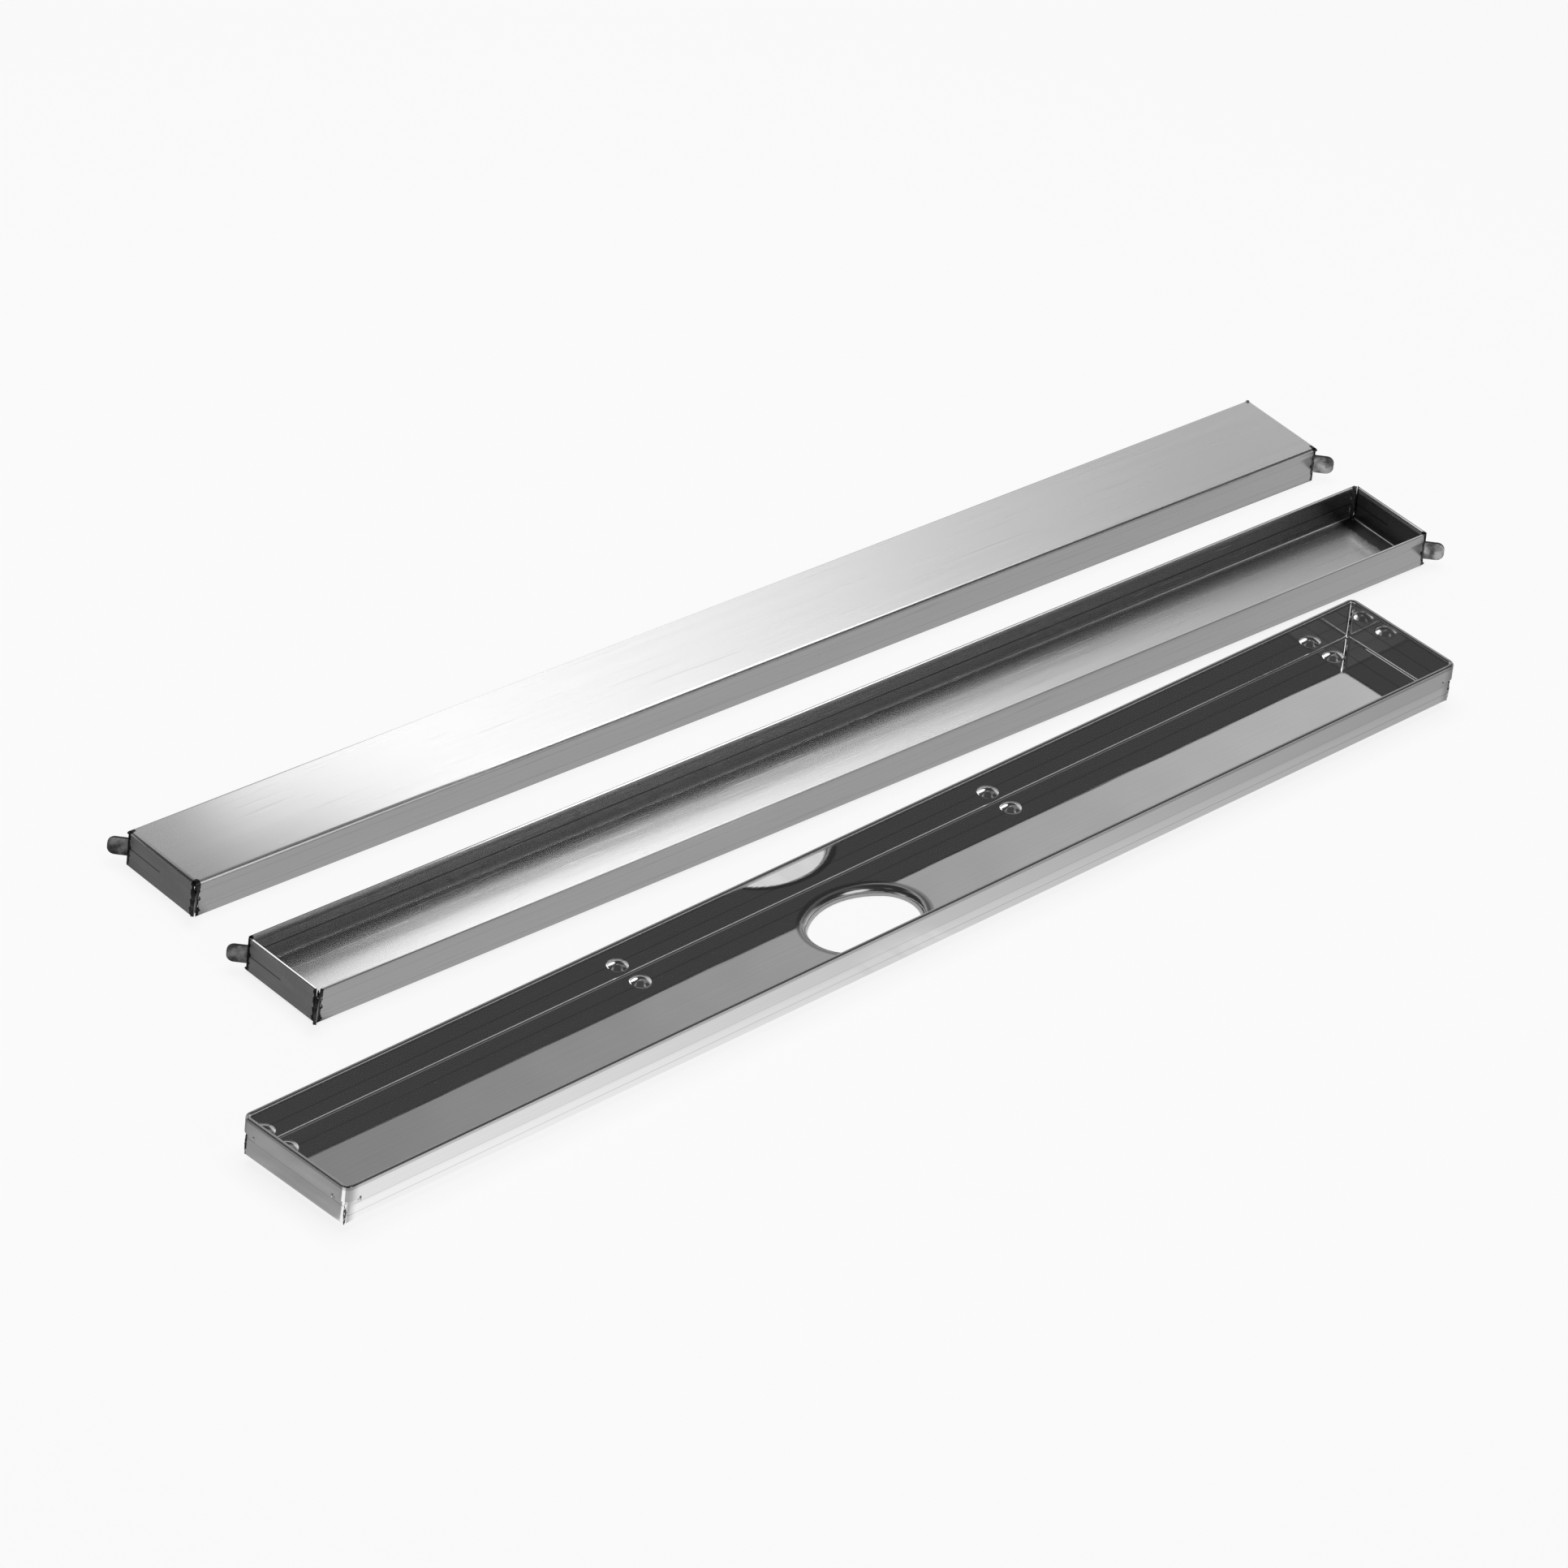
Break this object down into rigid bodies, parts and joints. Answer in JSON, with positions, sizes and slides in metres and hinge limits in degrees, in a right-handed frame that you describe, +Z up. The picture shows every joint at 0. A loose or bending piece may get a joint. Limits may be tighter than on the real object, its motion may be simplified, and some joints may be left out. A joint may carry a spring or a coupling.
{
  "type": "linear shower drain",
  "caption": "Folded stainless shower channel with a hemmed rim, an oval outlet and raised bosses, shown with its tile tray and its smooth cover, both with corner lugs.",
  "frame": {"origin": "centre of the channel's oval outlet at its lower edge, in the plane that all pieces stand on", "axes": "+X along the channel, +Y from the channel towards the covers, +Z up"},
  "size_m": [0.7977, 0.2779, 0.025],
  "materials": {
    "polished_steel": "mirror polished stainless steel",
    "brushed_steel": "brushed lengthwise",
    "lug_steel": "mill finish, cut edges"
  },
  "bodies": {
    "root": {"channel": "polished_steel", "tile_tray": "brushed_steel", "smooth_cover": "brushed_steel", "tray_lug_near_left": "lug_steel", "tray_lug_near_right": "lug_steel", "tray_lug_far_left": "lug_steel", "tray_lug_far_right": "lug_steel", "cover_lug_near_left": "lug_steel", "cover_lug_near_right": "lug_steel", "cover_lug_far_left": "lug_steel", "cover_lug_far_right": "lug_steel"}
  },
  "joints": []
}
